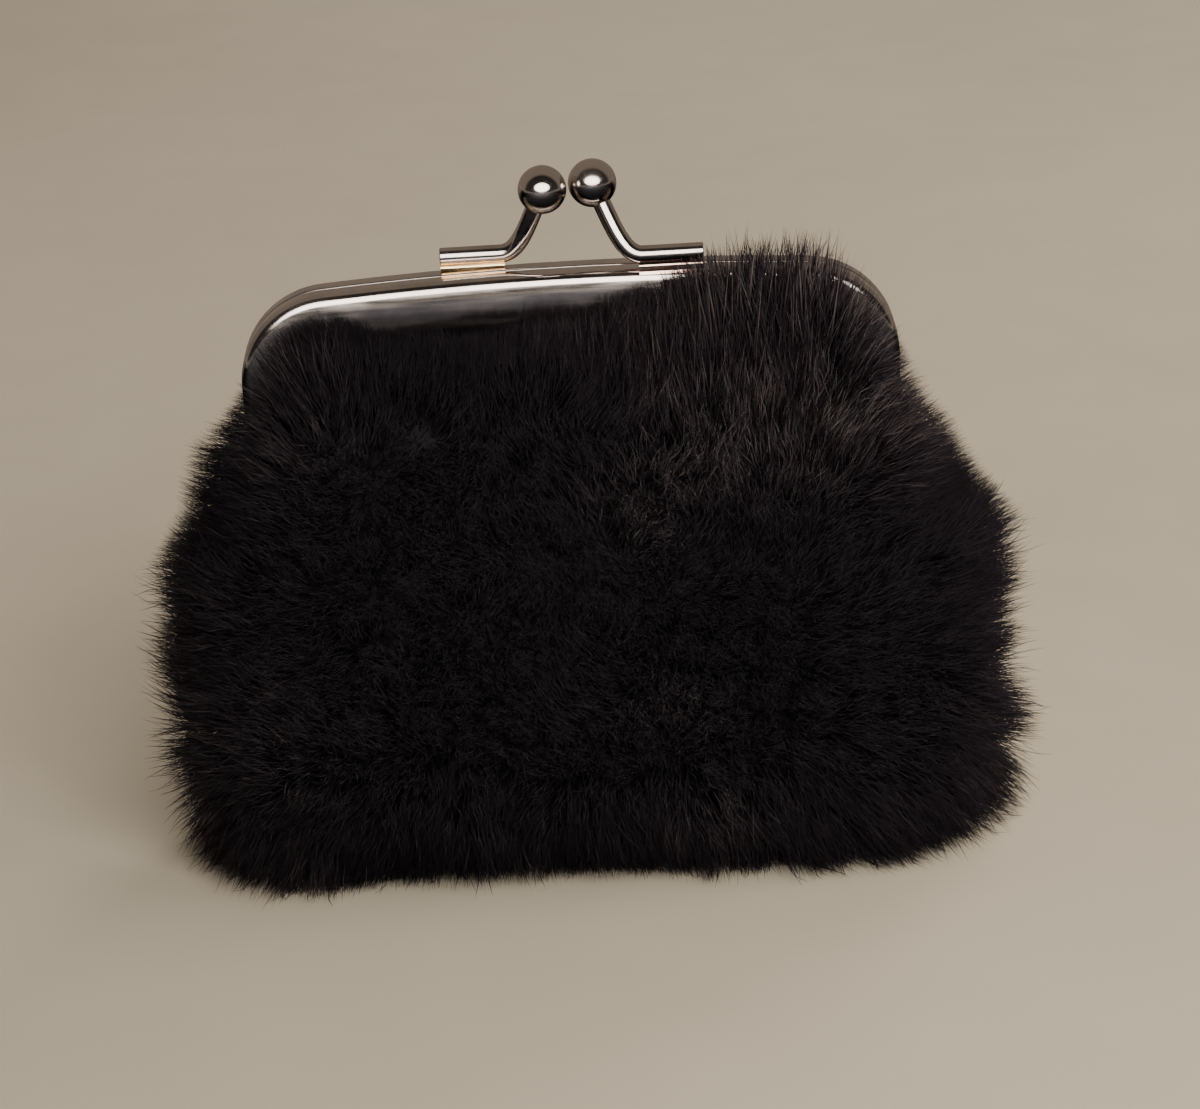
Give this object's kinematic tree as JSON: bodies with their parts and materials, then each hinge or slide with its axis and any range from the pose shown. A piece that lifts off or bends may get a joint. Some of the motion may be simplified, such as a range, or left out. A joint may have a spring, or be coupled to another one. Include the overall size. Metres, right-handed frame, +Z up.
{
  "type": "clasp coin purse",
  "caption": "Small pouch of deep-pile cloth on a bent metal frame with a snapping ball lock, standing upright on its base.",
  "frame": {"origin": "on the surface that the purse stands on, under the middle of its base", "axes": "+X along the frame to the right as seen from the front, +Y from the front panel to the back panel, +Z up"},
  "size_m": [0.1156, 0.041, 0.0949],
  "materials": {
    "frame_metal": "polished nickel plate",
    "rivet_metal": "plain nickel plate",
    "fur": "black deep-pile faux fur on a knitted backing"
  },
  "bodies": {
    "root": {"front_frame": "frame_metal", "rear_frame": "frame_metal", "hinge_rivet_left": "rivet_metal", "hinge_rivet_right": "rivet_metal", "fur_front_panel": "fur", "fur_back_panel": "fur"}
  },
  "joints": []
}
